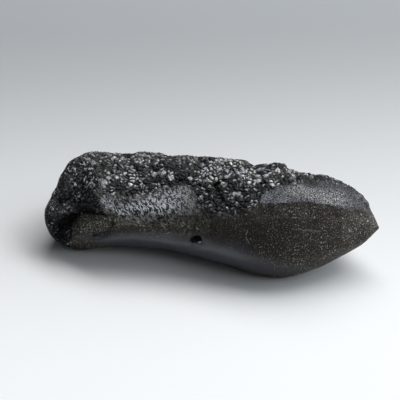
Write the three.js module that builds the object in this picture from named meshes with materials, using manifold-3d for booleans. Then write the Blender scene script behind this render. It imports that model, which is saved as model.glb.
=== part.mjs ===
// Tektite: one splash-form piece of black natural glass, about 62 mm long, lying on its side.
// One end is blunt and hollowed, the other is pinched to a point by two flake faces that meet
// along a brow. The top is a corroded crust, the near side is a smooth face with one gas-bubble
// pit in it, and the underside is an arch that touches the table in three small worn flats.
//
// Millimetres. +X runs along the stone to its point, +Z is up, and the table is z = 0.
// The origin is on the table, under the middle of the stone's bounding box.

import * as THREE from "three";
import { mergeVertices } from "three/addons/utils/BufferGeometryUtils.js";
import Module from "manifold-3d";

// How finely the solid is faceted: steps along the stone, and round it between two rails.
const STEPS_ALONG = 66;
const STEPS_BETWEEN_RAILS = 5;

// The two ends, where all rails meet.
const BLUNT_END = [-31.2, 5.8, 6.0];
const TIP = [31.0, 7.7, 7.1];

// Sections across the stone. Each has its x, and the [y, z] where it crosses each rail:
// keel, toe, belly, flank, brow, lip, shoulder, crest, back and heel, which is once round.
const SECTIONS = [
  {
    x: -30.4,
    rails: [
      [6.2, 3.4], [4.0, 3.5], [3.0, 5.0], [3.3, 6.4], [4.3, 7.2],
      [5.2, 7.5], [6.4, 7.7], [7.6, 7.4], [8.6, 6.4], [8.2, 4.6],
    ],
  },
  {
    x: -29.2,
    rails: [
      [7.4, 1.6], [3.0, 1.9], [2.0, 4.0], [2.4, 6.2], [3.8, 7.6],
      [5.1, 8.2], [6.8, 9.0], [9.1, 9.3], [11.8, 7.7], [11.0, 3.8],
    ],
  },
  {
    x: -27.3,
    rails: [
      [8.0, 1.0], [2.5, 0.8], [1.3, 3.2], [2.1, 5.6], [4.0, 7.8],
      [5.6, 9.2], [8.3, 11.0], [12.8, 12.3], [16.8, 8.8], [14.8, 2.8],
    ],
  },
  {
    x: -24.5,
    rails: [
      [8.5, 0.7], [2.6, -0.2], [1.1, 2.6], [2.0, 4.9], [3.9, 7.2],
      [5.4, 8.8], [8.2, 11.5], [14.2, 13.6], [19.2, 9.2], [16.4, 2.2],
    ],
  },
  {
    x: -20,
    rails: [
      [9.0, 0.9], [2.7, 0.7], [1.3, 3.1], [2.1, 5.0], [1.7, 7.2],
      [2.0, 9.3], [4.2, 11.6], [14.4, 13.6], [20.2, 8.8], [17.5, 2.0],
    ],
  },
  {
    x: -14,
    rails: [
      [9.5, 1.4], [3.1, 1.2], [1.9, 3.6], [2.2, 5.8], [1.9, 9.0],
      [2.6, 10.2], [5.2, 11.9], [14.2, 14.1], [20.4, 9.4], [18.0, 2.2],
    ],
  },
  {
    x: -8,
    rails: [
      [9.4, 1.6], [2.7, 1.6], [1.7, 3.8], [2.3, 6.2], [1.9, 9.3],
      [2.8, 10.5], [6.2, 12.4], [13.9, 14.3], [20.4, 9.6], [18.0, 1.6],
    ],
  },
  {
    x: -2,
    rails: [
      [9.0, 1.5], [1.5, 1.5], [0.9, 3.8], [1.8, 6.8], [2.2, 9.4],
      [3.2, 10.7], [5.6, 12.3], [13.9, 14.8], [20.0, 9.8], [17.4, 1.0],
    ],
  },
  {
    x: 4,
    rails: [
      [8.6, 1.3], [0.6, 0.9], [-0.7, 4.2], [0.7, 8.4], [2.4, 11.2],
      [3.4, 12.2], [6.0, 13.3], [13.4, 15.1], [19.4, 10.0], [16.6, -0.15],
    ],
  },
  {
    x: 9,
    rails: [
      [8.2, 1.1], [-0.3, 0.2], [-1.7, 4.5], [0.7, 9.2], [3.1, 12.7],
      [3.7, 13.1], [6.0, 14.1], [12.6, 15.0], [18.8, 10.2], [16.0, 1.0],
    ],
  },
  {
    x: 14,
    rails: [
      [7.8, 1.0], [-0.2, -0.15], [-2.1, 4.6], [0.6, 9.8], [2.9, 13.7],
      [3.5, 14.1], [6.7, 14.9], [11.8, 15.3], [18.0, 10.4], [16.4, 2.6],
    ],
  },
  {
    x: 20,
    rails: [
      [8.0, 1.7], [1.0, 1.6], [-0.4, 5.0], [2.2, 9.6], [4.3, 12.8],
      [4.8, 13.2], [8.6, 14.1], [12.6, 13.6], [17.0, 9.8], [15.0, 4.0],
    ],
  },
  {
    x: 25,
    rails: [
      [8.5, 3.2], [3.6, 3.4], [2.3, 6.2], [4.2, 9.2], [5.8, 11.1],
      [6.3, 11.4], [9.6, 12.4], [12.8, 12.4], [15.2, 9.6], [14.0, 5.4],
    ],
  },
  {
    x: 28.4,
    rails: [
      [8.2, 5.2], [5.1, 5.3], [4.6, 6.6], [5.6, 8.2], [6.6, 9.2],
      [7.0, 9.4], [8.9, 9.9], [11.1, 10.1], [11.9, 8.8], [11.0, 6.8],
    ],
  },
];

// The hollow in the blunt end, a long scoop that leaves a lobe standing beside it, and the pit
// that a gas bubble left in the near side: the middle of each, its half-sizes along, across and
// into the stone, and the direction of its length.
const END_HOLLOW = { at: [-25.0, 1.9, 6.8], half: [5.4, 1.9, 2.3], along: [0.62, 0.14, 0.77] };
const GAS_PIT = { at: [-1.6, 1.2, 5.7], half: [0.8, 0.62, 1.7], along: [0.96, 0, 0.27] };

// Everything below the table is ground away, which leaves the flats that the stone rests on.
const GRIND = { length: 80, depth: 10 };

function stoneSkin() {
  const rails = SECTIONS[0].rails.map((_, i) => {
    const across = SECTIONS.map(({ x, rails }) => new THREE.Vector3(x, ...rails[i]));
    const points = [new THREE.Vector3(...BLUNT_END), ...across, new THREE.Vector3(...TIP)];
    return new THREE.CatmullRomCurve3(points, false, "centripetal");
  });

  // Rings of points between the two ends, each a closed curve through the rails.
  const around = rails.length * STEPS_BETWEEN_RAILS;
  const positions = [...BLUNT_END];
  for (let step = 1; step < STEPS_ALONG; step++) {
    const onRails = rails.map((rail) => rail.getPoint(step / STEPS_ALONG));
    const ring = new THREE.CatmullRomCurve3(onRails, true, "centripetal");
    for (let i = 0; i < around; i++) positions.push(...ring.getPoint(i / around));
  }
  positions.push(...TIP);

  const faces = [];
  const first = (ring) => 1 + (ring - 1) * around;
  const tip = first(STEPS_ALONG);
  for (let i = 0; i < around; i++) {
    const next = (i + 1) % around;
    faces.push(0, first(1) + i, first(1) + next);
    faces.push(tip, first(STEPS_ALONG - 1) + next, first(STEPS_ALONG - 1) + i);
    for (let ring = 1; ring < STEPS_ALONG - 1; ring++) {
      const [a, b] = [first(ring) + i, first(ring) + next];
      const [c, d] = [first(ring + 1) + i, first(ring + 1) + next];
      faces.push(a, d, b, a, c, d);
    }
  }

  const skin = new THREE.BufferGeometry();
  skin.setAttribute("position", new THREE.Float32BufferAttribute(positions, 3));
  skin.setIndex(faces);
  return skin;
}

// A stretched ball. Its X goes along the stated direction, and its Z as near +Y as it can,
// which is straight into the near side of the stone.
function scoop({ at, half, along }) {
  const x = new THREE.Vector3(...along).normalize();
  const y = new THREE.Vector3(0, 1, 0).cross(x).normalize();
  const z = x.clone().cross(y);
  const place = new THREE.Matrix4().makeBasis(x, y, z).setPosition(...at);
  return new THREE.SphereGeometry(1, 28, 18).scale(...half).applyMatrix4(place);
}

function grind() {
  return new THREE.BoxGeometry(GRIND.length, GRIND.length, GRIND.depth).translate(0, 0, -GRIND.depth / 2);
}

const wasm = await Module();
wasm.setup();

function toSolid(geometry) {
  const bare = geometry.clone();
  bare.deleteAttribute("normal");
  bare.deleteAttribute("uv");
  const merged = mergeVertices(bare, 1e-4);
  const vertProperties = new Float32Array(merged.attributes.position.array);
  const triVerts = new Uint32Array(merged.index.array);
  return new wasm.Manifold(new wasm.Mesh({ numProp: 3, vertProperties, triVerts }));
}

function toGeometry(solid) {
  const mesh = solid.getMesh();
  const geometry = new THREE.BufferGeometry();
  geometry.setAttribute("position", new THREE.BufferAttribute(mesh.vertProperties, 3));
  geometry.setIndex(new THREE.BufferAttribute(mesh.triVerts, 1));
  return geometry;
}

const stone = toSolid(stoneSkin())
  .subtract(toSolid(scoop(END_HOLLOW)))
  .subtract(toSolid(scoop(GAS_PIT)))
  .subtract(toSolid(grind()));

const shape = toGeometry(stone);
shape.computeBoundingBox();
const middle = shape.boundingBox.getCenter(new THREE.Vector3());
shape.translate(-middle.x, -middle.y, -shape.boundingBox.min.z);

const glass = new THREE.MeshStandardMaterial({ color: 0x17161a, roughness: 0.45, metalness: 0 });
const tektite = new THREE.Mesh(shape, glass);
tektite.name = "tektite";

const group = new THREE.Group();
group.add(tektite);
export default group;
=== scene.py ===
"""A tektite: one piece of black natural glass lying on a pale table."""

import itertools
import math

import bpy
import numpy as np
from mathutils import Matrix, Vector


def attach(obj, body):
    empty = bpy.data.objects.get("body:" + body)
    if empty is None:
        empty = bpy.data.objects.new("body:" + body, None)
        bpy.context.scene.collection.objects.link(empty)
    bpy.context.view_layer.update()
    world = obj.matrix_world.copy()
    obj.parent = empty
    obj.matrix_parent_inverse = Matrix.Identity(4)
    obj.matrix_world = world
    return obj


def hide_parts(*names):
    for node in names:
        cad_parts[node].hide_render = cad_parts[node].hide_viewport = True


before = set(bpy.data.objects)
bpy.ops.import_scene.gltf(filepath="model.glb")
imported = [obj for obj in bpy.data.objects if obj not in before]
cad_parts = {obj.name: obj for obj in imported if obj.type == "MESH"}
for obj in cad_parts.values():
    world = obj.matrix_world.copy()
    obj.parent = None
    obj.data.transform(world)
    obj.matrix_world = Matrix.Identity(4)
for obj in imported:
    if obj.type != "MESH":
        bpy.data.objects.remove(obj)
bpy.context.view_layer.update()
scene = bpy.context.scene
scene.view_settings.view_transform = "Standard"

# ---------------------------------------------------------------------------------------------
# The stone. A splash of rock melted by a great impact, frozen in flight as black glass. Its top
# and back have been etched by the soil into a crust of small bumps; its near side is smoother.
# It is one piece of glass, so the whole skin is one mesh, worked in millimetres.

MM = 0.001
VOXEL, WELD_GAP = 0.12, 0.001
MOST_TRIANGLES = 197_000

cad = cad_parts["tektite"]
mesh = cad.data.copy()
mesh.transform(Matrix.Scale(1 / MM, 4))
mesh.materials.clear()
stone = bpy.data.objects.new("tektite_glass", mesh)
scene.collection.objects.link(stone)


def settle(piece):
    """Puts what the piece's modifiers make into its mesh."""
    graph = bpy.context.evaluated_depsgraph_get()
    made = bpy.data.meshes.new_from_object(piece.evaluated_get(graph))
    piece.modifiers.clear()
    piece.data = made


weld = stone.modifiers.new("weld", "WELD")
weld.merge_threshold = WELD_GAP
remesh = stone.modifiers.new("even_skin", "REMESH")
remesh.mode = "VOXEL"
remesh.voxel_size = VOXEL
settle(stone)


def vectors(piece, name):
    """One stored vector of every vertex: "co" is its place and "normal" its direction out."""
    flat = np.empty(len(piece.data.vertices) * 3, np.float32)
    piece.data.vertices.foreach_get(name, flat)
    return flat.reshape(-1, 3).astype(float)


def move_to(piece, points):
    """Moves the vertices to the points, and gives the new directions out."""
    piece.data.vertices.foreach_set("co", points.astype(np.float32).ravel())
    piece.data.update()
    return vectors(piece, "normal")


links = np.empty(len(stone.data.edges) * 2, np.int32)
stone.data.edges.foreach_get("vertices", links)
links = links.reshape(-1, 2)


def relaxed(points, rounds, share):
    """The points after each has moved some rounds towards the mean of its neighbours."""
    count = np.bincount(links.ravel(), minlength=len(points))[:, None]
    for _ in range(rounds):
        total = np.zeros_like(points)
        for axis in range(3):
            total[:, axis] += np.bincount(links[:, 0], points[links[:, 1], axis], len(points))
            total[:, axis] += np.bincount(links[:, 1], points[links[:, 0], axis], len(points))
        points = points + share * (total / count - points)
    return points


def smooth_step(low, high, value):
    """0 up to low, 1 from high on, and smooth between them. It falls where high is the lower."""
    t = np.clip((value - low) / (high - low), 0, 1)
    return t * t * (3 - 2 * t)


def bell(points, route, width):
    """1 along the route of points, falling softly to nothing about two widths away from it."""
    stops = np.array(route, float)
    if len(stops) == 1:
        stops = np.repeat(stops, 2, axis=0)
    nearest = np.full(len(points), np.inf)
    for start, end in zip(stops[:-1], stops[1:]):
        step = end - start
        share = np.clip((points - start) @ step / max(step @ step, 1e-9), 0, 1)
        gap = points - start - share[:, None] * step
        nearest = np.minimum(nearest, (gap**2).sum(axis=1))
    return np.exp(-nearest / width**2)


# The solid's facets are smoothed away, but the brow over the near side's right half stays
# sharp. The lower part of the near side's left half is smoothed much more than the rest.
BROW = [(3.3, -6.3, 11.5), (9.7, -4.8, 13.6), (14.7, -4.8, 14.4), (17.3, -4.1, 14.2)]
BROW += [(20, -3.5, 13.6), (22.7, -2.9, 12.7), (25.4, -2.3, 11.4), (27.7, -2, 10.1), (31, -1.5, 7)]
BROW_WIDTH = 1.0
SMOOTHING, ROUNDS, FLANK_ROUNDS = 0.5, 12, 60
skin = vectors(stone, "co")
sharp = bell(skin, BROW, BROW_WIDTH)[:, None]
skin = relaxed(skin, ROUNDS, SMOOTHING * (1 - sharp))
x, y, z = skin.T
flank = smooth_step(3, -1, x) * smooth_step(-22, -19, x)
flank = flank * smooth_step(0, -2, y) * smooth_step(9, 7.5, z)
skin = relaxed(skin, FLANK_ROUNDS, SMOOTHING * flank[:, None])

# Broad rises and hollows: where each runs, how wide it is and how high it stands.
GROOVE = [(-20.4, -7.7, 4.4), (-18.8, -7.4, 5.1), (-17.7, -7.4, 5.8), (-17.0, -7.8, 7.1)]
GROOVE += [(-17.2, -7.8, 8.2)]
SHAPING = [
    # On the near side: the groove round the lobe, the slope above it, and the gas pit's sill.
    (GROOVE, 0.5, -0.4),
    ([(-18.0, -7.2, 9.2), (-15.0, -7.4, 8.9)], 1.0, 0.55),
    ([(-2.2, -7.7, 4.9), (-1.5, -7.8, 4.95), (-1.1, -7.9, 5.1)], 0.45, 0.4),
    # Along the top, from the blunt end to the point.
    ([(-29.5, -1.7, 8.9)], 1.0, 0.3),
    ([(-28.4, 0.6, 10.8)], 2.0, 0.5),
    ([(-27.0, 3.4, 12.0)], 1.6, 0.45),
    ([(-21.6, 5.8, 13.4)], 1.5, -0.9),
    ([(-17.0, 6.4, 13.3)], 1.4, -1.2),
    ([(-10.8, 6.5, 13.7), (-8.2, 6.6, 13.6)], 1.6, -1.3),
    ([(-3.8, 3.0, 15.0), (-3.6, 6.6, 14.0)], 1.4, -0.8),
    ([(1.3, 3.0, 15.2), (1.3, 6.4, 14.2)], 0.8, -0.8),
    ([(7.6, 2.5, 15.2), (7.6, 5.8, 14.1)], 1.5, -1.0),
    ([(11.0, 4.3, 15.2), (12.6, 4.0, 15.0)], 1.2, 0.9),
    ([(15.0, 1.5, 14.9), (15.0, 4.6, 14.1)], 1.2, -1.0),
    ([(17.8, 1.2, 14.3), (17.8, 4.2, 13.6)], 1.2, -0.8),
    ([(20.6, 4.0, 13.2)], 1.6, 0.5),
    ([(24.6, 3.6, 12.2)], 1.2, -0.7),
    ([(27.3, 2.0, 11.1)], 0.9, 0.4),
    ([(28.4, 1.1, 10.3)], 0.8, 0.5),
    ([(29.2, 0.5, 9.8)], 0.8, -0.35),
    # Notches across the back edge of the top.
    ([(-8.9, 6.5, 13.6), (-8.9, 9.0, 12.4)], 1.1, -0.7),
    ([(-4.0, 6.5, 13.8), (-4.0, 9.0, 12.4)], 1.3, -0.4),
    ([(7.2, 6.3, 13.4), (7.2, 8.6, 12.2)], 1.2, -0.45),
    ([(13.0, 4.5, 14.4), (13.0, 7.6, 12.6)], 0.7, -0.8),
    ([(16.1, 4.2, 13.8), (16.1, 7.0, 12.4)], 1.3, -0.35),
    # A low ridge on the blunt end, and the dip beside it.
    ([(-29.4, -4.4, 8.3), (-27.4, -3.0, 9.7), (-25.4, -1.8, 10.9)], 0.7, 0.35),
    ([(-27.6, -4.6, 8.4), (-26.2, -3.6, 9.2)], 0.8, -0.5),
]
outward = move_to(stone, skin)
for route, width, height in SHAPING:
    skin = skin + outward * (height * bell(skin, route, width))[:, None]
outward = move_to(stone, skin)
x, y, z = skin.T

# The lobe that the hollow leaves standing: an almond with a crisp rim over the dark hollow.
# lobe_out is 0 in its middle and 1 at its rim.
LOBE_MIDDLE = np.array((-20.8, -7.0, 6.3))
LOBE_ALONG, LOBE_UP = np.array((0.9, -0.1, 0.42)), np.array((-0.42, 0.0, 0.9))
LOBE_HALF_LENGTH, LOBE_HALF_WIDTH, LOBE_RISE = 4.9, 2.1, 0.7
MOAT_DEPTH, MOAT_WIDTH = 0.8, 0.28
lobe_s = (skin - LOBE_MIDDLE) @ LOBE_ALONG / LOBE_HALF_LENGTH
lobe_t = (skin - LOBE_MIDDLE) @ LOBE_UP / LOBE_HALF_WIDTH
lobe_out = np.sqrt(lobe_s**2 + lobe_t**2)
front = smooth_step(-3.5, -5.0, y)
dome = np.sqrt(np.clip(1 - lobe_out**2, 0, None))
moat = np.exp(-((np.maximum(lobe_out - 1, 0) / MOAT_WIDTH) ** 2))
moat = moat * smooth_step(-0.1, 0.4, lobe_t - 0.4 * lobe_s)
lift = front * (LOBE_RISE * dome - MOAT_DEPTH * moat * (lobe_out > 1))
skin = skin + outward * lift[:, None]
outward = move_to(stone, skin)
x, y, z = skin.T


def chances(place, salt):
    """Fixed random numbers from 0 to 1, one for each whole-number place."""
    mixed = place @ np.array((127.1, 311.7, 74.7)) + 53.9 * salt
    return np.modf(np.abs(np.sin(mixed)) * 43758.5453)[0]


def clouds(points, size, seed, octaves=2):
    """Soft noise between about -1 and 1, with lumps of the stated size."""
    total = np.zeros(len(points))
    for octave in range(octaves):
        spot = points * 2**octave / size + 17.3 * seed
        corner = np.floor(spot)
        part = spot - corner
        part = part * part * (3 - 2 * part)
        for step in itertools.product((0, 1), repeat=3):
            share = np.where(step, part, 1 - part).prod(axis=1)
            total += share * (2 * chances(corner + step, seed) - 1) / 2**octave
    return total


def cells(points, size, seed):
    """Cells of about the stated size. For each point: how far in it is from its cell's border,
    in millimetres, its offset from the cell's middle, and three random numbers of the cell."""
    spot = points / size + 3.7 * seed
    corner = np.floor(spot)
    near = np.full(len(points), np.inf)
    next_near = near.copy()
    first = np.zeros_like(spot)
    second = np.zeros_like(spot)
    for step in itertools.product((-1, 0, 1), repeat=3):
        box = corner + step
        middle = box + np.stack([chances(box, seed + salt) for salt in (1, 2, 3)], axis=1)
        gap = ((spot - middle) ** 2).sum(axis=1)
        closer = gap < near
        between = ~closer & (gap < next_near)
        second[closer] = first[closer]
        second[between] = middle[between]
        next_near = np.where(closer, near, np.where(between, gap, next_near))
        first[closer] = middle[closer]
        near = np.where(closer, gap, near)
    apart = np.sqrt(((second - first) ** 2).sum(axis=1))
    inside = size * (next_near - near) / (2 * apart)
    chance = np.stack([chances(np.floor(first * 8), salt) for salt in (4, 5, 6)], axis=1) * 2 - 1
    return inside, size * (spot - first), chance


# The near side is flaked off below the brow, which leaves a crisp edge along this crest.
CREST = [(8.8, -4.8, 13.4), (10.5, -5.4, 13.5), (12.0, -5.9, 13.7), (14.2, -5.7, 14.0)]
CREST += [(15.8, -5.3, 14.1), (17.9, -4.6, 13.8), (19.4, -4.3, 13.5), (21.8, -3.6, 12.8)]
CREST += [(24.2, -3.0, 11.9), (26.3, -2.0, 11.0), (28.6, -0.5, 9.7)]
FLAKE_SLOPE, MOST_FLAKED, CREST_WAVER = 1.15, 0.8, 0.12
crest_x, crest_y, crest_z = np.array(CREST).T
ahead = np.interp(x, crest_x, crest_y) - y + CREST_WAVER * clouds(skin, 1.2, seed=6)
flake = np.interp(x, crest_x, crest_z) - FLAKE_SLOPE * ahead
spare = np.clip(z - flake, 0, MOST_FLAKED) * (ahead > 0) * smooth_step(5.5, 1.0, ahead)
spare = spare * smooth_step(6.5, 11.0, x) * smooth_step(29.5, 27.5, x)
skin = skin - spare[:, None] * np.array((0.0, 0.0, 1.0))
outward = move_to(stone, skin)
x, y, z = skin.T

# Where the crust ends along the near side. "rise" goes up the near flank and over the top, so
# one number for each x says where the edge is, and another how softly the crust fades there.
rise = y + z
EDGE_X = [-32, -24, -19.5, -18, -13, -12, -10.3, -8, -5.5, -4, -2.7, -1.8, 1.4, 6, 8.6]
EDGE_X += [9.7, 11, 12.8, 14.5, 17, 19.7, 24.3, 27, 29, 32]
EDGE_RISE = [0, 4.0, 7.0, 7.0, 7.6, 8.2, 9.0, 10.5, 12.0, 12.4, 10.2, 6.6, 5.0, 5.4, 7.6]
EDGE_RISE += [11.0, 12.4, 13.2, 14.0, 14.9, 15.9, 15.9, 14.6, 13.4, 12.8]
wander = clouds(skin, 1.5, seed=3.1)
crust_edge = np.interp(x, EDGE_X, EDGE_RISE) + 0.7 * wander + 0.5 * clouds(skin, 0.7, seed=4)
FADE_X = [-32, -16, -12, -9, -5, -3, 0, 5, 9, 32]
FADE = [1.6, 4.0, 2.2, 1.4, 1.0, 1.2, 3.0, 2.6, 0.6, 0.6]
fade = np.interp(x, FADE_X, FADE)
crust = smooth_step(-1, 0.4, (rise - crust_edge) / fade) * smooth_step(0.8, 3.4, z + 0.8 * wander)

# The blunt end is dull and finely grained, and its crust is nearly gone.
LOST_CRUST = 0.9
END_Y = [-8, -5.7, -3.2, -0.6, 1.9, 4.2, 8]
END_X = [-18.8, -19.7, -20.2, -21.1, -22.8, -25.0, -28.0]
end_face = smooth_step(1.5, -1.1, x - np.interp(y, END_Y, END_X) + 0.8 * wander)
crust = crust * (1 - LOST_CRUST * end_face)

# The crust: round-edged bumps with nearly level tops and narrow grooves between them. In
# places finer grooves break up the tops.
BUMP, BUMP_EDGE, BUMP_HEIGHT, BUMP_LEAN, BUMP_SPREAD = 0.8, 0.26, 0.4, 0.16, 0.06
SMALL_BUMP, SMALL_BUMP_EDGE, SMALL_BUMP_HEIGHT, SMALL_BUMP_SPREAD = 0.45, 0.18, 0.13, 0.04
LUMP, LUMP_HEIGHT, CRUST_HEIGHT, OVERLAP = 2.6, 0.26, 0.06, 0.02


def bump_tops(inside, edge):
    """1 on the level tops, falling over the stated width to nearly 0 where bumps meet."""
    return 1 - (1 - np.clip((inside + OVERLAP) / edge, 0, 1)) ** 2


ripple = np.stack([clouds(skin, 1.4, seed=s) for s in (11, 12, 13)], axis=1)
inside, offset, chance = cells(skin + 0.3 * ripple, BUMP, seed=1)
lean = (offset * chance).sum(axis=1)
bumps = bump_tops(inside, BUMP_EDGE)
small_inside, _, small_chance = cells(skin + 0.15 * ripple, SMALL_BUMP, seed=7)
small_bumps = bump_tops(small_inside, SMALL_BUMP_EDGE)
broken = smooth_step(-0.2, 0.3, clouds(skin, 2.2, seed=8))
lumps = clouds(skin, LUMP, seed=5)
relief = crust * (
    CRUST_HEIGHT
    + BUMP_HEIGHT * (bumps - 0.75)
    + BUMP_LEAN * bumps * lean
    + BUMP_SPREAD * chance[:, 0]
    + broken * (SMALL_BUMP_HEIGHT * (small_bumps - 0.75) + SMALL_BUMP_SPREAD * small_chance[:, 0])
    + LUMP_HEIGHT * lumps
)

# Deeper clefts wander through it: where each runs, how wide it is and how deep.
CLEFTS = [
    ([(-10.3, 1.3, 13.9), (-9.5, -0.4, 13.4), (-8.8, -1.8, 12.9)], 0.2, 0.4),
    ([(-8.6, 1.2, 13.9), (-8.2, -0.1, 13.6), (-8.0, -1.2, 13.1)], 0.2, 0.4),
    ([(0.9, -1.0, 13.8), (1.3, -2.4, 13.3), (2.2, -3.9, 12.7)], 0.36, 0.8),
    ([(5.4, -0.3, 14.5), (5.9, -3.2, 13.7)], 0.24, 0.4),
    ([(-12.7, -3.4, 12.2), (-10.0, -2.8, 12.4), (-7.9, -2.0, 12.8), (-5.9, -0.6, 13.4)], 0.24, 0.4),
]
for route, width, depth in CLEFTS:
    relief = relief - depth * bell(skin + 0.5 * ripple, route, width)

# Here and there a bump stands proud and level.
PROUD = [
    (-10.7, 0.4, 13.6), (-9.1, 0.8, 13.8), (-7.3, -0.3, 13.5), (-4.4, 1.9, 14.4), (-4.0, -0.2, 13.7),
    (-2.4, 3.2, 14.8), (-0.7, -0.7, 13.8), (1.1, 2.0, 14.8), (2.6, 0.3, 14.5), (4.5, 1.1, 14.9),
    (-1.4, -3.9, 12.2), (9.9, 0.4, 15.1), (8.7, -0.8, 14.7), (-18.9, -1.3, 13.1), (-23.8, 3.2, 13.6),
    (-22.5, 2.4, 13.6), (4.5, -3.4, 13.3), (5.2, -3.4, 13.4),
]
PROUD_WIDTH, PROUD_HEIGHT = 0.5, 0.3
LARGEST_PROUD, LARGEST_WIDTH = (-19.9, -2.6, 12.6), 1.0
proud = bell(skin + 0.4 * ripple, [LARGEST_PROUD], LARGEST_WIDTH)
for place in PROUD:
    proud = np.maximum(proud, bell(skin + 0.25 * ripple, [place], PROUD_WIDTH))
level = smooth_step(0.2, 0.6, proud) * (0.4 + 0.6 * small_bumps)
relief = relief + (PROUD_HEIGHT - relief) * level

# The smoother flanks still undulate a little, and are finely wrinkled below the crust, apart
# from a bare strip over the lobe's end.
BARE_STRIP = [(-19.0, -7.6, 9.0), (-16.5, -7.4, 7.6)]
FLANK_SWELL, WRINKLE_HEIGHT, END_GRAIN = 0.05, 0.1, 0.7
wrinkled = (1 - crust) * smooth_step(7, -1, x) * smooth_step(6.6, 8.4, z + 0.6 * wander)
wrinkled = wrinkled * (1 - end_face) * (1 - front * smooth_step(1.35, 1.15, lobe_out))
wrinkled = wrinkled * (1 - bell(skin, BARE_STRIP, 1.3))
flanks = (1 - crust) * FLANK_SWELL * clouds(skin, 3.0, seed=9)
rough = wrinkled * np.interp(x, [-18, -12, -8], [1.6, 1.0, 0.5])
rough = np.maximum(rough, END_GRAIN * end_face)
flanks = flanks + rough * WRINKLE_HEIGHT * (small_bumps - 0.8)
shaped = skin + outward * (relief + flanks)[:, None]
shaped = relaxed(shaped, 2, 0.3 * crust[:, None])
shaped[:, 2] = np.maximum(shaped[:, 2], 0)
move_to(stone, shaped)


def paint(piece, name, values):
    """Stores a value for each place on the skin, which the material finds by its name."""
    layer = piece.data.attributes.new(name, "FLOAT", "POINT")
    layer.data.foreach_set("value", values.astype(np.float32))


# The tops of the bumps are painted pale as a highlight, more in some places than in others, and less
# behind.
HIGHLIGHT_GAPS = [
    ([(15.5, 1.5, 15.0), (21.5, 2.7, 13.7)], 1.2),
    ([(-6.1, 4.2, 14.5)], 1.0),
    ([(-20.4, 1.7, 13.6), (-17.1, 1.0, 13.7)], 1.1),
    ([(-24.2, 1.2, 12.9), (-22.2, 0.2, 13.0)], 2.0),
]
HIGHLIGHT_SPREAD_ROUTE = [(-1.0, 1.0, 14.3), (4.0, 1.0, 14.8)]
highlight_gaps = 0.8 * sum(bell(skin + 0.5 * ripple, route, width) for route, width in HIGHLIGHT_GAPS)
highlight_spread = 0.5 * bell(skin, HIGHLIGHT_SPREAD_ROUTE, 3.0) + clouds(skin, 2.6, seed=15)
highlight_share = 1.25 * smooth_step(-0.5, 0.75, highlight_spread + 0.9 * chance[:, 1])
tops = smooth_step(0.07, 0.2, inside) * (1 - 0.8 * broken * (1 - small_bumps)) * highlight_share
shaded = 1 - 0.5 * smooth_step(4.0, 9.0, y)
paint(stone, "crust", crust)
paint(stone, "top", crust * np.maximum(tops, level) * (1 - highlight_gaps) * shaded)

# The wrinkles' painted highlight is palest and bluish in a patch below the crust, and paler still
# along the patch's foot.
PATCH = [(-18.6, -6.2, 10.2), (-15.0, -6.6, 10.2), (-7.6, -4.8, 11.4), (-6.0, -3.8, 12.2)]
FOOT_HIGHLIGHT_ROUTE = [(-18.0, -6.7, 10.0), (-14.5, -6.9, 9.8), (-7.5, -5.8, 10.6)]
fading = np.interp(x, [-19, -12, -7, -3.5, 6], [0.9, 1, 0.85, 0.5, 0.3])
paint(stone, "wrinkled", wrinkled * (fading * smooth_step(-4.0, 1.0, rise)))
paint(stone, "patch", wrinkled * bell(skin, PATCH, 2.6))
paint(stone, "foot_highlight", wrinkled * bell(skin, FOOT_HIGHLIGHT_ROUTE, 1.5))

# Small pale scales lie in a band below the wrinkles, and above the lobe; their paleness is partly
# painted highlight.
SCALY = [(-18.0, -7.3, 7.6), (-8.0, -7.3, 7.8), (0.0, -7.0, 8.4), (7.0, -6.8, 9.6)]
SCALY_ABOVE_LOBE = [(-18.2, -6.5, 10.2), (-15.0, -6.9, 9.5)]
scaly = bell(skin + 0.4 * ripple, SCALY, 1.3) + bell(skin + 0.4 * ripple, SCALY_ABOVE_LOBE, 1.5)
scaly = np.minimum(scaly, 1) * (1 - crust) * (1 - end_face)
scaly = scaly * smooth_step(-0.5, 0.6, clouds(skin, 1.6, seed=33))
paint(stone, "scaly", scaly * np.interp(x, [-19, -10, -3, 8], [0.8, 1.0, 0.6, 0.15]))

# The blunt end's finish leaves out the lobe and the foot below it.
lobe_skin = front * smooth_step(1.1, 0.95, lobe_out)
end_foot = smooth_step(-26.0, -24.5, x) * smooth_step(5.5, 4.0, z)
paint(stone, "end_face", end_face * (1 - lobe_skin) * (1 - end_foot))
paint(stone, "lobe", lobe_skin)

# The hollow, the groove round the lobe and the pit are painted black as shade: almost no light comes
# back from them.
HOLLOW = [
    ([(-27.3, -6.4, 6.0), (-27.5, -6.4, 3.8), (-27.2, -7.3, 2.8)], 1.1),
    ([(-25.8, -5.2, 6.6), (-25.9, -5.2, 4.3)], 1.3),
    ([(-24.0, -5.0, 7.9), (-21.0, -6.4, 9.2)], 0.6),
]
PIT = [(-2.2, -7.6, 5.5), (-1.2, -7.6, 5.9)]
deep = np.max([bell(skin, route, width) for route, width in HOLLOW], axis=0)
deep = np.maximum(deep * (1 - lobe_skin), 0.9 * bell(skin + 0.15 * ripple, GROOVE, 0.5))
deep = np.maximum(deep, smooth_step(0.25, 0.4, bell(skin, PIT, 0.62)))
paint(stone, "deep", deep)

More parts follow.
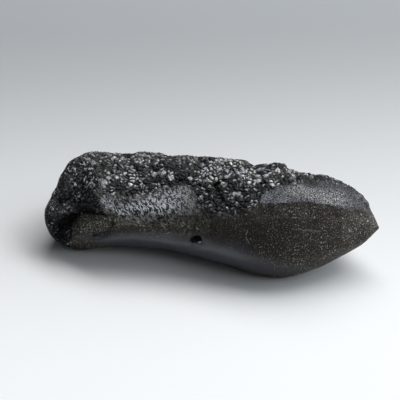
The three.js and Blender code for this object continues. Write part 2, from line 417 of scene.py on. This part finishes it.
# The low belly band, rubbed smooth, runs on under the stone, painted with a bluish sheen that stands
# in for its reflection. It has no shine by the groove.
BELLY_X = [-27, -20, -10, 0, 6, 14, 22, 31]
BELLY_Z = [3.4, 4.8, 5.6, 6.4, 7.2, 4.6, 2.2, 2.6]
BELLY_FADE = [1.2, 1.2, 1.2, 2.0, 2.6, 3.0, 3.5, 3.5]
LEAST_SHINE, BELLY_SHINE = 0.01, 0.38
above = z - np.interp(x, BELLY_X, BELLY_Z) + 0.3 * wander
belly = smooth_step(0.7, -1, above / np.interp(x, BELLY_X, BELLY_FADE))
foot = np.interp(x, [-23, -14], [2.6, 0.9])
belly = belly * (1 - crust) * smooth_step(-26.0, -24.0, x + 0.4 * wander)
# The painted sheen fades out towards the ground, so the belly's foot stays darker as painted shade.
belly = belly * smooth_step(0, 2.0, z - foot)
by_groove = bell(skin, GROOVE, 1.4)
shine = (LEAST_SHINE + BELLY_SHINE * belly * smooth_step(16.0, 2.0, x)) * smooth_step(0.7, 3.2, z)
paint(stone, "belly", belly)
paint(stone, "polish", (1 - crust) * (1 - by_groove) * shine)

# Where the near face is greyer and more flecked, and where it is darker than elsewhere: partly dust
# and tiny chips, partly painted light and shade.
DUST_AND_LIGHT_PLACES = [
    ([(-25.0, -7.4, 2.0), (-18.0, -8.0, 1.8)], 1.6, 0.5),
    ([(14.0, -5.6, 11.5), (22.0, -4.0, 10.5), (30.0, -2.0, 7.5)], 4.0, 0.35),
    ([(10.0, -10.5, 4.5), (17.0, -10.0, 2.5)], 2.2, 0.5),
    ([(-16.0, -7.0, 9.2), (-4.0, -7.0, 9.2)], 1.3, 0.5),
    ([(-23.5, -7.0, 5.3), (-17.5, -8.0, 7.5)], 2.0, 0.8),
    ([(5.0, -8.0, 6.0), (11.0, -9.4, 5.0)], 2.5, -0.3),
    ([(-2.0, -7.2, 7.2), (4.0, -7.4, 8.4)], 2.4, -0.5),
    ([(10.0, -10.5, 5.0), (17.0, -10.3, 4.5), (24.0, -6.5, 6.0)], 2.5, 0.5),
]
dust = 0.38 + 0.3 * clouds(skin, 3.0, seed=21)
for route, width, more in DUST_AND_LIGHT_PLACES:
    dust = dust + more * bell(skin, route, width)
paint(stone, "dust", np.clip(dust, 0, 1))

# The facet above the brow, what faces up there behind the crest, is frosted and painted paler as a
# highlight.
frost_and_highlight = smooth_step(0.66, 0.74, outward[:, 2]) * smooth_step(6.5, 9.5, x)
frost_and_highlight = frost_and_highlight * smooth_step(0.4, -0.1, ahead)
paint(stone, "frost_and_highlight", frost_and_highlight * (1 - crust))

thin = stone.modifiers.new("thin", "DECIMATE")
thin.ratio = min(1.0, MOST_TRIANGLES / (2 * len(stone.data.polygons)))
settle(stone)
stone.data.transform(Matrix.Scale(MM, 4))
for face in stone.data.polygons:
    face.use_smooth = True


class Wire:
    """One output of a shader node. Arithmetic on it adds Math nodes."""

    def __init__(self, shader, socket):
        self.shader = shader
        self.socket = socket

    def math(self, operation, *others):
        inputs = dict(enumerate((self, *others)))
        return self.shader.node("ShaderNodeMath", {"operation": operation}, inputs)

    def __add__(self, other):
        return self.math("ADD", other)

    __radd__ = __add__

    def __sub__(self, other):
        return self.math("SUBTRACT", other)

    def __rsub__(self, other):
        return self.shader.node("ShaderNodeMath", {"operation": "SUBTRACT"}, {0: other, 1: self})

    def __mul__(self, other):
        return self.math("MULTIPLY", other)

    __rmul__ = __mul__

    def between(self, low, high):
        """0 below low, 1 above high, and smooth between them."""
        curve = {"interpolation_type": "SMOOTHSTEP"}
        return self.shader.node("ShaderNodeMapRange", curve, {0: self, 1: low, 2: high})


class Shader:
    """A material's or the world's node tree, with one way to add any node."""

    def __init__(self, name, tree=None, main="Principled BSDF"):
        if tree is None:
            self.material = bpy.data.materials.new(name)
            self.material.use_nodes = True
            tree = self.material.node_tree
        self.tree = tree
        self.main = tree.nodes[main]

    def node(self, kind, settings=None, inputs=None, output=0):
        made = self.tree.nodes.new(kind)
        for key, value in (settings or {}).items():
            setattr(made, key, value)
        for key, value in (inputs or {}).items():
            self.plug(made.inputs[key], value)
        return Wire(self, made.outputs[output])

    def plug(self, socket, value):
        if isinstance(value, Wire):
            self.tree.links.new(value.socket, socket)
        elif isinstance(value, tuple) and len(value) == 3 and len(socket.default_value) == 4:
            socket.default_value = (*value, 1.0)
        else:
            socket.default_value = value

    def finish(self, **values):
        """Fills the main shader's sockets. Base_Color stands for Base Color, and so on."""
        for name, value in values.items():
            title = name.replace("_", " ").title().replace("Ior", "IOR")
            self.plug(self.main.inputs[title], value)

    def split(self, vector):
        parts = self.node("ShaderNodeSeparateXYZ", inputs={"Vector": vector}).socket.node
        return [Wire(self, output) for output in parts.outputs]

    def attribute(self, name):
        return self.node("ShaderNodeAttribute", {"attribute_name": name}, output="Fac")

    def mix_colour(self, share, first, second):
        return self.node(
            "ShaderNodeMix",
            {"data_type": "RGBA"},
            {"Factor": share, "A": first, "B": second},
            output="Result",
        )


glass = Shader("black_glass")
spot = glass.node("ShaderNodeTexCoord", output="Object")
in_crust = glass.attribute("crust")
in_belly = glass.attribute("belly")
in_dust_and_light = glass.attribute("dust")
in_frost_and_highlight = glass.attribute("frost_and_highlight")
in_wrinkles = glass.attribute("wrinkled")
in_patch = glass.attribute("patch")
in_deep = glass.attribute("deep")
on_lobe = glass.attribute("lobe")
on_end = glass.attribute("end_face")


def noise(scale, detail, roughness):
    """Noise of the stated scale to the metre: 4000 makes grains of a quarter of a millimetre."""
    inputs = {"Vector": spot, "Scale": scale, "Detail": detail, "Roughness": roughness}
    return glass.node("ShaderNodeTexNoise", {}, inputs)


def wavered(scale, detail, reach):
    """The spot, moved by noise of the stated scale by up to the stated reach on each axis."""
    inputs = {"Vector": spot, "Scale": scale, "Detail": detail}
    waver = glass.node("ShaderNodeTexNoise", {}, inputs, output="Color")
    inputs = {0: waver, 1: (reach, reach, reach), 2: spot}
    return glass.node("ShaderNodeVectorMath", {"operation": "MULTIPLY_ADD"}, inputs, output="Vector")


# Colour: black, a little brown and olive over the near face.
BROWN_BLACK, RED_BLACK = (0.017, 0.0155, 0.0135), (0.024, 0.016, 0.0145)
DUST_AND_LIGHT_GREY, LOBE_OLIVE = (0.041, 0.0365, 0.0305), (0.03, 0.028, 0.021)
END_BLACK, CREVICE_SHADE_BLACK = (0.002, 0.0018, 0.0025), (0.002, 0.002, 0.002)
tint = noise(260.0, 2.0, 0.5).between(0.4, 0.6)
colour = glass.mix_colour(tint, BROWN_BLACK, RED_BLACK)
colour = glass.mix_colour(in_dust_and_light, colour, DUST_AND_LIGHT_GREY)
colour = glass.mix_colour(on_end, colour, END_BLACK)
colour = glass.mix_colour(on_lobe, colour, LOBE_OLIVE)
# Over the crust the colour is near black: the glass's own black, darkened as painted shade in the
# grooves between the bumps.
colour = glass.mix_colour(in_crust, colour, CREVICE_SHADE_BLACK)

# The crust's bump tops are painted pale as a highlight, mottled and finely cracked.
HIGHLIGHT_COOL, HIGHLIGHT_WARM = (0.66, 0.665, 0.705), (0.68, 0.665, 0.62)
mottle = noise(5000.0, 1.0, 0.5).between(0.42, 0.62)
cracks = glass.node(
    "ShaderNodeTexVoronoi",
    {"feature": "DISTANCE_TO_EDGE"},
    {"Vector": spot, "Scale": 1500.0},
    output="Distance",
)
highlit_tops = glass.attribute("top") * (0.45 + 0.55 * cracks.between(0.02, 0.14))
highlight_colour = glass.mix_colour(noise(420.0, 2.0, 0.5).between(0.4, 0.6), HIGHLIGHT_COOL, HIGHLIGHT_WARM)
colour = glass.mix_colour(highlit_tops * (0.4 + 0.6 * mottle), colour, highlight_colour)

# The belly band is painted a bluish sheen, and the facet above the brow has a grey frosting, partly
# painted highlight.
BELLY_SHEEN_BLUE = (0.058, 0.058, 0.073)
FROST_DARK, FROST_HIGHLIGHT_PALE = (0.012, 0.0125, 0.015), (0.05, 0.052, 0.062)
colour = glass.mix_colour(in_belly, colour, BELLY_SHEEN_BLUE)
colour = glass.mix_colour(in_frost_and_highlight, colour, glass.mix_colour(mottle, FROST_DARK, FROST_HIGHLIGHT_PALE))

# Pale flecks: chips and dust caught in the pits of the near face and of the blunt end.
SPECKLE, FLECK, END_FLECK = (0.62, 0.58, 0.52), (0.85, 0.83, 0.76), (0.75, 0.75, 0.78)
plain = (1 - in_crust) * (1 - in_belly) * (1 - in_frost_and_highlight) * (1 - on_end)
clustered = noise(600.0, 2.0, 0.5).between(0.5, 0.62)
speckle = noise(4200.0, 3.0, 0.65).between(0.55, 0.72) * (0.1 + 0.65 * in_dust_and_light + 0.5 * on_lobe)
flecks = noise(4500.0, 2.0, 0.6).between(0.63, 0.68) * (0.2 + 0.8 * in_dust_and_light)
flecks = flecks * (0.55 + 0.8 * clustered)
end_flecks = noise(2300.0, 3.0, 0.65).between(0.53, 0.6) * (0.2 + 0.8 * clustered)
colour = glass.mix_colour(plain * speckle, colour, SPECKLE)
colour = glass.mix_colour(plain * flecks, colour, FLECK)
colour = glass.mix_colour(on_end * end_flecks, colour, END_FLECK)

# Short slanting wrinkles below the crust, their ridges painted pale as highlights and the troughs
# between them painted dark as shade, and the small pale scales, partly painted highlight.
ALONG, OUT = Vector((0.6, -0.6, -0.53)).normalized(), Vector((0.0, -0.66, 0.75))
ACROSS = OUT.cross(ALONG).normalized()
WRINKLE_TURN = Matrix((ALONG, ACROSS, ALONG.cross(ACROSS))).transposed().to_euler()
WRINKLE_SIZE = (0.0009, 0.0003, 0.0005)
RIDGE_HIGHLIGHT, PATCH_RIDGE_HIGHLIGHT = (0.12, 0.115, 0.1), (0.145, 0.152, 0.173)
FOOT_HIGHLIGHT, SCALE_HIGHLIGHT = (0.35, 0.355, 0.38), (0.5, 0.475, 0.38)
warped = wavered(1400.0, 1.0, 0.0011)
slant = {"Vector": warped, "Rotation": WRINKLE_TURN, "Scale": WRINKLE_SIZE}
slanted = glass.node("ShaderNodeMapping", {"vector_type": "TEXTURE"}, slant)
streaks = {"Vector": slanted, "Scale": 1.0, "Detail": 2.0, "Roughness": 0.5}
ridges = glass.node("ShaderNodeTexNoise", {}, streaks).between(0.44, 0.56)
ridges = ridges * (0.2 + 1.6 * noise(3400.0, 2.0, 0.6))
ridge_light_and_shade = glass.mix_colour(in_patch, RIDGE_HIGHLIGHT, PATCH_RIDGE_HIGHLIGHT)
ridge_light_and_shade = glass.mix_colour(glass.attribute("foot_highlight"), ridge_light_and_shade, FOOT_HIGHLIGHT)
ridge_light_and_shade = glass.mix_colour(ridges, CREVICE_SHADE_BLACK, ridge_light_and_shade)
colour = glass.mix_colour(in_wrinkles, colour, ridge_light_and_shade)
scales = noise(2400.0, 3.0, 0.65).between(0.55, 0.62)
colour = glass.mix_colour(glass.attribute("scaly") * scales, colour, SCALE_HIGHLIGHT)

# A few fine pale scratches on the near face: where each starts and ends, and how strong it is.
SCRATCHES = [
    ((7.6, -8.3, 9.5), (7.4, -8.9, 8.5), 0.7),
    ((7.4, -8.9, 8.5), (8.1, -9.6, 7.2), 0.7),
    ((15.5, -8.2, 10.1), (20.6, -6.9, 9.8), 0.3),
    ((16.1, -10.6, 5.9), (16.6, -10.6, 5.5), 0.6),
    ((25.8, -4.8, 9.0), (26.0, -4.8, 8.3), 0.5),
]
SCRATCH_PALE, DEEP_SHADE_BLACK = (0.32, 0.31, 0.27), (0.001, 0.001, 0.0012)
SCRATCH_WIDTH, SCRATCH_REACH, SCRATCH_WAVER = 0.00012, 0.003, 0.0006
wavering = wavered(1800.0, 2.0, SCRATCH_WAVER)
half_waver = Vector((SCRATCH_WAVER, SCRATCH_WAVER, SCRATCH_WAVER)) / 2


def scratch(start, end):
    """1 on a fine wavering line between two places in millimetres, and 0 off it."""
    start, end = Vector(start) * MM, Vector(end) * MM
    run = end - start
    line = {
        "Vector": wavering,
        "Location": start + half_waver,
        "Rotation": run.to_track_quat("X", "Z").to_euler(),
        "Scale": (run.length, SCRATCH_WIDTH, SCRATCH_REACH),
    }
    placed = glass.node("ShaderNodeMapping", {"vector_type": "TEXTURE"}, line)
    along, aside, through = glass.split(placed)
    close = 1 - aside.math("ABSOLUTE").between(0.3, 1.0)
    close = close * (1 - through.math("ABSOLUTE").between(0.9, 1.0))
    return close * along.between(0.0, 0.15) * (1 - along.between(0.85, 1.0))


for start, end, strength in SCRATCHES:
    colour = glass.mix_colour(strength * scratch(start, end), colour, SCRATCH_PALE)
colour = glass.mix_colour(in_deep, colour, DEEP_SHADE_BLACK)

# Grain: fine pits all over, coarser ones on the blunt end, and the wrinkles.
GRAIN_HEIGHT = 0.00016
pits = {"Vector": warped, "Scale": 2300.0}
pitted = glass.node("ShaderNodeTexVoronoi", {}, pits, output="Distance").between(0.05, 0.6)
grain = noise(4600.0, 2.0, 0.5) * 0.4
grain = grain * (1 + 1.5 * in_frost_and_highlight) * (1 + 0.4 * in_crust) * (1 - 0.85 * in_belly)
grain = grain + 0.9 * ridges * in_wrinkles + 2.0 * on_end * pitted
bump = {"Strength": 1.0, "Distance": GRAIN_HEIGHT, "Height": grain}

# Gloss is a coat: strongest on the painted pale tops, and thin on the frost, the ridges and the
# belly.
gloss = highlit_tops * (0.25 + 0.35 * mottle)
gloss = gloss + in_frost_and_highlight * (1 - in_wrinkles) * mottle * 0.33
gloss = gloss + ridges * (0.12 * in_wrinkles + 0.28 * in_patch)
polish = glass.attribute("polish") * (1 - in_frost_and_highlight) * (1 - in_wrinkles)
gloss = gloss + polish * (1 - on_end) * (1 - in_deep)
glass.finish(
    Base_Color=colour,
    Roughness=0.4 + 0.5 * in_deep - 0.12 * on_end - 0.12 * in_crust,
    Ior=1.5,
    Specular_Ior_Level=0.11,
    Coat_Weight=gloss,
    Coat_Roughness=0.24,
    Coat_Ior=2.0,
    Normal=glass.node("ShaderNodeBump", {}, bump),
)
stone.data.materials.append(glass.material)
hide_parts("tektite")
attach(stone, "root")

# ---------------------------------------------------------------------------------------------
# The table. A pale paper sheet with painted light: its colour runs from near white in front to pale
# grey further back, and is lighter towards the right, as the light falls off.

TABLE_SIZE = 1.6
FRONT_LIT_WHITE, BACK_SHADED_GREY = (0.97, 0.98, 0.985), (0.34, 0.355, 0.37)
WHITE_ENDS, GREY_STARTS, SLANT = -0.05, 0.09, 0.2
bpy.ops.mesh.primitive_plane_add(size=TABLE_SIZE)
table = bpy.context.object
table.name = "table"
paper = Shader("paper_painted_falloff")
right, away, _ = paper.split(paper.node("ShaderNodeTexCoord", output="Object"))
painted_falloff = (away - SLANT * right).between(WHITE_ENDS, GREY_STARTS)
paper.finish(
    Base_Color=paper.mix_colour(painted_falloff, FRONT_LIT_WHITE, BACK_SHADED_GREY),
    Roughness=0.9,
    Specular_Ior_Level=0.1,
)
table.data.materials.append(paper.material)

# ---------------------------------------------------------------------------------------------
# Light: a soft window behind the stone on its right, and a cool panel overhead that only the
# gloss shows. The room is bright on the right, a little light low down and dark elsewhere, but
# its walls look a plain pale grey.

LAMP_AWAY = 0.6
UP, TABLE_BACK = Vector((0.0, 0.0, 1.0)), Vector((0.0, 1.0, 0.0))
WINDOW_TURN, WINDOW_HEIGHT, WINDOW_SIZE, WINDOW_POWER = 22, 50, (0.72, 0.23), 4.25
OVERHEAD = Vector((-0.2, -0.12, 0.97)).normalized()
OVERHEAD_SIZE, OVERHEAD_POWER = (0.42, 0.75), 5.5
WHITE, COOL = (1.0, 1.0, 1.0), (0.87, 0.91, 1.0)
ROOM_TOWARDS, ROOM_COLOUR = (0.9, 0.3, 0.3), (0.93, 0.97, 1.0)
ROOM_BRIGHT, ROOM_DARK, ROOM_LOW, WALL_SEEN = 2.5, 0.03, 0.13, 0.5


def direction(turn, height):
    """A unit vector: turned clockwise from the table's back, and raised, both in degrees."""
    turn, height = math.radians(turn), math.radians(height)
    level = math.cos(height)
    return Vector((math.sin(turn) * level, math.cos(turn) * level, math.sin(height)))


def turned_to(backward, up):
    """The turn that points a lamp's or camera's back along backward, its top side towards up."""
    across = up.cross(backward).normalized()
    return Matrix((across, backward.cross(across), backward)).transposed().to_quaternion()


def lamp(name, towards, up, size, power, colour):
    """A soft rectangular lamp that lies towards a direction and faces the stone, itself unseen."""
    light = bpy.data.lights.new(name, "AREA")
    light.shape = "RECTANGLE"
    light.size, light.size_y = size
    light.energy = power
    light.color = colour
    placed = bpy.data.objects.new(name, light)
    placed.location = towards * LAMP_AWAY
    placed.rotation_mode = "QUATERNION"
    placed.rotation_quaternion = turned_to(towards, up)
    placed.visible_camera = False
    scene.collection.objects.link(placed)
    return placed


window_way = direction(WINDOW_TURN, WINDOW_HEIGHT)
lamp("window", window_way, UP, WINDOW_SIZE, WINDOW_POWER, WHITE)
overhead = lamp("overhead", OVERHEAD, TABLE_BACK, OVERHEAD_SIZE, OVERHEAD_POWER, COOL)
overhead.visible_diffuse = False

room = bpy.data.worlds.new("room")
room.use_nodes = True
air = Shader("room", room.node_tree, "Background")
way = air.node("ShaderNodeTexCoord", output="Generated")
_, _, height = air.split(way)
low = 1 - height.between(0.0, 0.6)
inputs = {0: way, 1: ROOM_TOWARDS}
facing = air.node("ShaderNodeVectorMath", {"operation": "DOT_PRODUCT"}, inputs, output="Value")
glow = ROOM_DARK + ROOM_BRIGHT * facing.between(0.6, 1.0) + ROOM_LOW * low
seen = air.node("ShaderNodeLightPath", output="Is Camera Ray")
air.finish(Color=ROOM_COLOUR, Strength=glow * (1 - seen) + WALL_SEEN * seen)
scene.world = room

# ---------------------------------------------------------------------------------------------
# The camera looks down on the stone's near side, a little round towards its point.

AIM = Vector((-0.0021, -0.0002, 0.009))
DISTANCE = 0.206
AZIMUTH, ELEVATION = 8.0, 37.0
FOCAL_LENGTH, SENSOR_WIDTH, NEAREST = 100.0, 36.0, 0.005

back = direction(180.0 - AZIMUTH, ELEVATION)
lens = bpy.data.cameras.new("camera")
lens.lens = FOCAL_LENGTH
lens.sensor_width = SENSOR_WIDTH
lens.clip_start = NEAREST
camera = bpy.data.objects.new("camera", lens)
camera.location = AIM + back * DISTANCE
camera.rotation_mode = "QUATERNION"
camera.rotation_quaternion = turned_to(back, UP)
scene.collection.objects.link(camera)
scene.camera = camera
